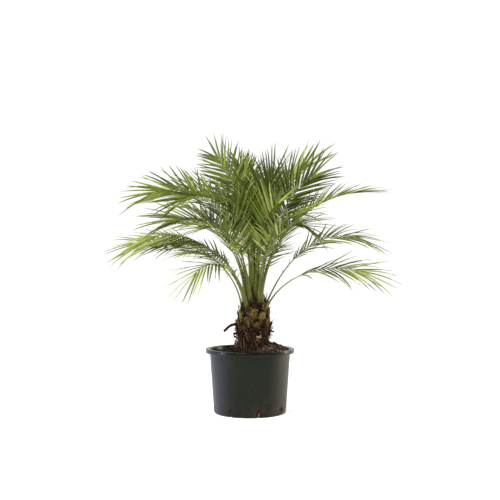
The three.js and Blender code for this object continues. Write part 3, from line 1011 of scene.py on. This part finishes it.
def head_fibre(draw):
    """A long fibre drawn up between the stalks."""
    turn, rise = any_turn(draw), draw.uniform(0.128, 0.262)
    out, side, up = trunk_frame(turn)
    if in_boot(turn, rise):
        return None
    way = up + side * draw.gauss(0, 0.20) - out * draw.uniform(0.0, 0.3)
    length = draw.uniform(0.025, 0.065)
    bend = out * draw.uniform(-0.008, 0.008) + side * draw.gauss(0, 0.008)
    return blade_row(on_trunk(turn, rise, draw.uniform(-0.004, 0.012)), way, side, length,
                     draw.uniform(0.8, 2.4), deal(draw, 0.42, 0.36, 0.18, 0.04), bend,
                     *waves(draw, 0.002))


def foot_fibre(draw):
    """A fibre that falls from the foot of the trunk to the soil, further out on its left."""
    turn, rise = any_turn(draw), draw.uniform(0.012, 0.050)
    if in_boot(turn, rise):
        return None
    out, side, up = trunk_frame(turn)
    spread = 0.55 if out.x < -0.3 else 0.05
    way = out * draw.uniform(0, spread) - up * draw.uniform(0.5, 1.1) + side * draw.gauss(0, 0.5)
    length = draw.uniform(0.014, 0.036)
    return blade_row(on_trunk(turn, rise, draw.uniform(0, 0.004)), way, side, length,
                     draw.uniform(0.8, 2.2), deal(draw, 0.22, 0.34, 0.28, 0.16),
                     -up * draw.uniform(0.002, 0.012), *waves(draw, 0.003))


def soil_fibre(draw):
    """A fine pale root that lies on the soil."""
    turn, away = any_turn(draw), draw.uniform(0.06, 0.155)
    x, y = away * cos(turn), away * sin(turn)
    heading = direction(any_turn(draw))
    length = draw.uniform(0.012, 0.032)
    tip = Vector((x, y, 0)) + heading * length
    if hypot(tip.x, tip.y) > 0.168:
        return None
    spot = Vector((x, y, soil_height(x, y) + 0.0015))
    way = Vector((tip.x, tip.y, soil_height(tip.x, tip.y) + 0.002)) - spot
    return blade_row(spot, way, Vector((-heading.y, heading.x, 0)), length,
                     draw.uniform(0.5, 1.1), draw.choice((1, 2, 2, 3)), Vector((0, 0, 0)),
                     *waves(draw, 0.003))


def make_fibres():
    """Loose fibre all over the trunk and the soil."""
    draw = random.Random(7)
    kinds = (body_fibre, head_fibre, foot_fibre, soil_fibre)
    rows = [kinds[deal(draw, 0.48, 0.28, 0.13, 0.11)](draw) for _ in range(FIBRE_COUNT)]
    shape = {"Half Width": 0.0008, "Half Thickness": 0.0006, "Fold": 0.0, "Segments": 6,
             "Foot Width": 0.7, "Taper": 0.45}
    grow("trunk_fibres", [row for row in rows if row], FIBRE_TREE, shape, "trunk_fibre")


def make_flakes():
    """Pointed brown scraps of old sheath that stand off the trunk between its cut bases."""
    draw = random.Random(17)
    rows = []
    while len(rows) < FLAKE_COUNT:
        turn, rise = any_turn(draw), draw.uniform(0.020, 0.190)
        if in_boot(turn, rise):
            continue
        out, side, up = trunk_frame(turn)
        way = up * draw.choice((1, 1, 1, -0.8)) + side * draw.gauss(0, 0.4)
        way += out * draw.uniform(0.3, 1.6)
        bulk = 1 + 0.6 * smooth(1 - abs(rise - 0.085) / 0.06)
        rows.append(blade_row(
            on_trunk(turn, rise, draw.uniform(-0.002, 0.005)), way, side,
            draw.uniform(0.014, 0.034) * bulk, draw.uniform(0.5, 1.2) * bulk,
            deal(draw, 0.34, 0.42, 0.2, 0.04),
            out * draw.uniform(-0.010, 0.008) + side * draw.gauss(0, 0.006),
            *waves(draw, 0.0015)))
    shape = {"Half Width": 0.0052, "Half Thickness": 0.0006, "Fold": 0.3, "Segments": 5,
             "Foot Width": 0.8, "Taper": 0.9}
    grow("sheath_scraps", rows, FIBRE_TREE, shape, "trunk_fibre")


# Thick roots that leave the trunk above the soil: turn, rise, length, lift and radius.
AIR_ROOTS = [(196, 0.090, 0.094, 0.016, 0.0065), (214, 0.074, 0.064, -0.004, 0.0060),
             (150, 0.056, 0.060, -0.016, 0.0045), (342, 0.080, 0.052, -0.004, 0.0040)]
# Wiry roots down the trunk's foot, and curled pale ones that stand off it on the left.
FOOT_ROOTS, CURLED_ROOTS = 150, 22


def make_roots():
    """Thick roots that leave the trunk in the air, and wiry ones that run into the soil."""
    draw = random.Random(5)
    roots = Strands()
    for turn, rise, length, lift, radius in AIR_ROOTS:
        out = direction(radians(turn))
        start = trunk_axis(rise) + out * 0.044
        path, radii = [], []
        for k in range(17):
            s = k / 16
            spot = start + out * (s * length)
            spot.z += lift * sin(pi * s) - length * (0.10 * s * s + 0.08 * s ** 4)
            path.append(spot + noise.noise_vector(spot * 60) * 0.0012)
            radii.append(radius * mix(1.1, 0.85, s) * (1 + 0.2 * noise.noise(spot * 120)))
        roots.add(path, radii, sides=8)
    for index in range(FOOT_ROOTS + CURLED_ROOTS):
        curled = index >= FOOT_ROOTS
        turn = radians(draw.uniform(175, 232) if curled else draw.uniform(0, 360))
        rise = draw.uniform(0.014, 0.058)
        if in_boot(turn, rise):
            continue
        out = direction(turn)
        reach = draw.uniform(0.012, 0.030) if curled else draw.uniform(0.002, 0.009)
        start = on_trunk(turn, rise, -0.003)
        foot = start + out * reach + direction(turn + pi / 2) * draw.gauss(0, 0.012)
        foot.z = soil_height(foot.x, foot.y) - 0.001
        path = []
        for k in range(9):
            s = k / 8
            spot = start.lerp(foot, s) + out * (0.5 * reach * sin(pi * s))
            spot.z = mix(start.z, foot.z, s ** 1.5)
            path.append(spot + noise.noise_vector(spot * 70 + Vector((index, 0, 0))) * 0.0022 * s)
        roots.add_root(path, draw.uniform(0.0009, 0.0024), 6,
                       deal(draw, *((0, 0.3, 0.7) if curled else (0.45, 0.4, 0.15))))
    piece(roots.made("foot_roots", ROOT_SKINS), "roots")


# ---- fronds ----

def rib_frame(frond, s):
    """The frond's frame at s, from 0 at its base to 1 at its tip: along, up and side."""
    slope = radians(mix(frond.rise, frond.dip, s ** frond.bend))
    turn = radians(frond.azimuth + frond.swing * s)
    along = direction(turn, slope)
    up = direction(turn, slope + pi / 2)
    return along, up, along.cross(up)


def rib_points(frond):
    """Evenly spaced points along the middle of a frond's rib."""
    rise = mix(HEAD_OLD_RISE, HEAD_YOUNG_RISE, frond.age)
    radius = mix(HEAD_OLD_RADIUS, HEAD_YOUNG_RADIUS, frond.age)
    point = trunk_axis(rise) + direction(radians(frond.azimuth)) * radius
    point -= rib_frame(frond, 0)[0] * RIB_SUNK
    points = [point.copy()]
    step = (frond.length + RIB_SUNK) / RIB_STEPS
    for i in range(RIB_STEPS):
        point += rib_frame(frond, (i + 0.5) / RIB_STEPS)[0] * step
        points.append(point.copy())
    return points


def place_at(points, s):
    at = min(max(s, 0.0), 1.0) * (len(points) - 1)
    i = min(int(at), len(points) - 2)
    return points[i].lerp(points[i + 1], at - i)


def tapered(rows, s):
    """A value at s between the rows of a table of (s, value)."""
    for (low, first), (high, second) in zip(rows, rows[1:]):
        if s <= high:
            return mix(first, second, (s - low) / (high - low))
    return rows[-1][1]


RIB_WIDTH = [(0.0, 0.0138), (0.08, 0.0130), (0.15, 0.0086), (0.25, 0.0052), (0.45, 0.0035),
             (1.0, 0.0009)]
RIB_THICK = [(0.0, 0.0070), (0.06, 0.0062), (0.14, 0.0052), (0.26, 0.0044), (0.45, 0.0032),
             (1.0, 0.0008)]


def make_ribs():
    """The stalks and ribs: broad and flat inside where they clasp the trunk, and fine-tipped."""
    ribs = Strands()
    steps = [k / RIB_STEPS for k in range(RIB_STEPS + 1)]
    for frond in FRONDS:
        girth = mix(0.86, 1.10, smooth(frond.age / 0.6))
        widths, thicks = ([tapered(rows, s) * girth for s in steps]
                          for rows in (RIB_WIDTH, RIB_THICK))
        ribs.add(rib_points(frond), widths, thicks, sides=10,
                 ups=[rib_frame(frond, s)[1] for s in steps], inner=0.45)
    thing = ribs.made("frond_ribs", [STALK_SKIN])
    store(thing, "run", ribs.runs)
    store(thing, "edge", ribs.edges)
    piece(thing, "frond_ribs", *["frond_" + frond.name for frond in FRONDS])


def leaflet_length(t):
    return LEAFLET_LONGEST * mix(0.5, 1, smooth(t / 0.3)) * (1 - 0.12 * t ** 3)


def leaflet_way(frond, s, t, hand, draw):
    """Which way a leaflet points, and the rib's way along it."""
    along, up, side = rib_frame(frond, s)
    twist = Quaternion(along, radians(frond.roll * s))
    side, up = twist @ side, twist @ up
    vee = mix(4, 32, frond.age) if frond.vee is None else frond.vee
    vee = radians(vee + draw.gauss(0, 2.5))
    opening = mix(OLD_OPENING, YOUNG_OPENING, frond.age)
    angle = radians(mix(opening, TIP_OPENING, t ** 3) + draw.gauss(0, 2))
    outward = side * (hand * cos(vee)) + up * sin(vee)
    way = along * cos(angle) + outward * sin(angle)
    way.z -= mix(0.1, 0.03, frond.age)
    return way, along * hand


def shade_for(age, draw):
    """Deals out a leaflet's green: deep on the young fronds, light and olive on the old."""
    if age < 0.3:
        return deal(draw, 0.04, 0.20, 0.26, 0.28, 0.22)
    if age < 0.6:
        return deal(draw, 0.20, 0.36, 0.26, 0.12, 0.06)
    return deal(draw, 0.32, 0.38, 0.20, 0.08, 0.02)


# Where a frond's spines start, where its leaflets start when it is old or young, and where they
# end, along its rib. Then the distances between leaflets and spines, and the share of leaflets
# that are missing. A tip that dries past the leaflet's end isn't dry.
SPINES_FROM, LEAFLETS_TO = 0.15, 0.99
OLD_LEAFLETS_FROM, YOUNG_LEAFLETS_FROM = 0.46, 0.36
OLD_SPACING, YOUNG_SPACING, SPINE_SPACING = 0.0185, 0.0098, 0.024
MISSING_SHARE = 0.04
NOT_DRY = 2.0


def leaf_stations(frond, draw):
    """One point for each leaflet and spine, with how it lies, bends and is coloured."""
    rows = []
    points = rib_points(frond)
    first = mix(OLD_LEAFLETS_FROM, YOUNG_LEAFLETS_FROM, frond.age)
    spacing = mix(OLD_SPACING, YOUNG_SPACING, min(frond.age * 1.5, 1))
    pairs = int((LEAFLETS_TO - first) * frond.length / spacing)
    for i in range(pairs):
        for hand in (-1, 1):
            t = (i + (0.5 if hand > 0 else 0)) / (pairs - 0.5)
            if draw.random() < MISSING_SHARE:
                continue
            s = mix(first, LEAFLETS_TO, t) + draw.uniform(-0.004, 0.004)
            way, side = leaflet_way(frond, s, t, hand, draw)
            size = leaflet_length(t) * draw.uniform(0.9, 1.05)
            droop = mix(0.18, 0.04, frond.age) * size * draw.uniform(0.3, 1.6)
            row = blade_row(place_at(points, s), way, side, size,
                            draw.uniform(0.86, 1.12) * mix(1.12, 0.95, frond.age),
                            shade_for(frond.age, draw))
            row["bend"] = row["across"] * draw.gauss(0, 0.05) * size - Vector((0, 0, droop))
            dry = draw.random() < DRY_TIPPED.get(frond.name, 0.01)
            row["straw_from"] = draw.uniform(0.68, 0.9) if dry else NOT_DRY
            row["brown_from"] = row["straw_from"] + draw.uniform(0.06, 0.2)
            rows.append(row)
    count = int((first - SPINES_FROM) * frond.length / SPINE_SPACING)
    for i in range(count):
        t = i / count
        s = mix(SPINES_FROM, first - 0.01, t)
        way, side = leaflet_way(frond, s, 0.2, 1 if i % 2 else -1, draw)
        row = blade_row(place_at(points, s), way, side,
                        mix(0.014, 0.085, t * t) * draw.uniform(0.8, 1.2), mix(0.26, 0.5, t),
                        draw.choice((2, 3, 4)))
        row["straw_from"], row["brown_from"] = 0.75, NOT_DRY
        rows.append(row)
    return rows


def make_leaflets(name, fronds, seed):
    draw = random.Random(seed)
    rows = [row for frond in fronds for row in leaf_stations(frond, draw)]
    spray = grow(name, rows, LEAF_TREE, {"Half Width": LEAFLET_HALF_WIDTH}, "leaflets",
                 *["frond_" + frond.name for frond in fronds])
    spray.data.set_sharp_from_angle(angle=radians(28))


# ---- the whole plant ----

def skins(prefix, rows, *finish, **options):
    """Materials that share a finish and differ in name and in their two colours."""
    return [mottled(prefix + name, first, second, *finish, **options)
            for name, first, second in rows]


# A stretch that draws a boot's blotches out along the trunk.
ALONG = (1, 1, 0.5)
SOIL_SKIN = mottled("soil_skin", (30, 22, 17), (58, 45, 35), 0.95, 60.0, (150.0, 0.8, 0.003))
# The stem's near-black skin is partly its own dark brown and partly painted shade for the gaps
# between the fibres.
TRUNK_SKIN = mottled("trunk_skin", (22, 12, 7), (50, 29, 17), 0.9, 60.0, (120.0, 0.9, 0.004),
                     (1, 1, 0.3))
BOOT_SKINS = [
    mottled("boot_green", (66, 54, 18), (124, 112, 34), 0.6, 70.0, (240.0, 0.5, 0.0015), ALONG,
            0.25),
    mottled("boot_dry", (44, 25, 14), (84, 54, 30), 0.85, 90.0, (200.0, 0.6, 0.002), (1, 1, 0.4)),
    mottled("boot_cut", (70, 48, 28), (112, 84, 52), 0.85, 120.0, (260.0, 0.5, 0.001)),
    mottled("boot_pale", (176, 136, 100), (214, 178, 138), 0.8, 120.0, (260.0, 0.5, 0.001)),
    mottled("boot_faded", (70, 48, 20), (108, 88, 34), 0.7, 90.0, (240.0, 0.5, 0.0015), ALONG),
]
FIBRE_SKINS = skins("fibre_", (("dark", (24, 13, 6), (38, 21, 10)),
                               ("brown", (52, 31, 14), (72, 44, 20)),
                               ("red", (92, 58, 28), (112, 74, 38)),
                               ("tan", (140, 110, 74), (164, 134, 96))),
                    0.85, 80.0, specular=0.25)
CRUMB_SKINS = skins("crumb_", (("dark", (28, 20, 17), (42, 32, 27)),
                               ("brown", (60, 46, 38), (78, 62, 52)),
                               ("red", (92, 68, 56), (110, 84, 70)),
                               ("tan", (146, 126, 110), (170, 150, 134))), 0.95, 90.0)
ROOT_RELIEF = (300.0, 0.4, 0.001)
ROOT_SKINS = skins("root_", [("dark", (34, 22, 17), (56, 38, 30))], 0.7, 80.0, ROOT_RELIEF,
                   specular=0.3)
ROOT_SKINS += skins("root_", [("red", (78, 46, 30), (108, 66, 44)),
                              ("tan", (126, 96, 72), (154, 122, 94))], 0.8, 80.0, ROOT_RELIEF,
                    specular=0.3)
STALK_SKIN = stalk_skin()
LEAF_SKINS = skins("leaf_", LEAF_SHADES, 0.6, 40.0)
LEAF_TREE = spray_tree("leaflet_spray", LEAF_SKINS[:STRAW], LEAF_SKINS[STRAW:])
FIBRE_TREE = spray_tree("fibre_spray", FIBRE_SKINS)

make_camera()
make_studio()
make_pot()
make_slot_roots()
make_soil()
make_crumbs()
make_trunk()
make_boots()
make_fibres()
make_flakes()
make_roots()
make_ribs()
# The tiers of leaflets, and the ages from which and up to which each takes fronds.
TIERS = [("low_leaflets", 0.0, 0.3), ("middle_leaflets", 0.3, 0.6), ("top_leaflets", 0.6, 1.1)]
for seed, (tier, low, high) in enumerate(TIERS):
    make_leaflets(tier, [frond for frond in FRONDS if low <= frond.age < high], seed)
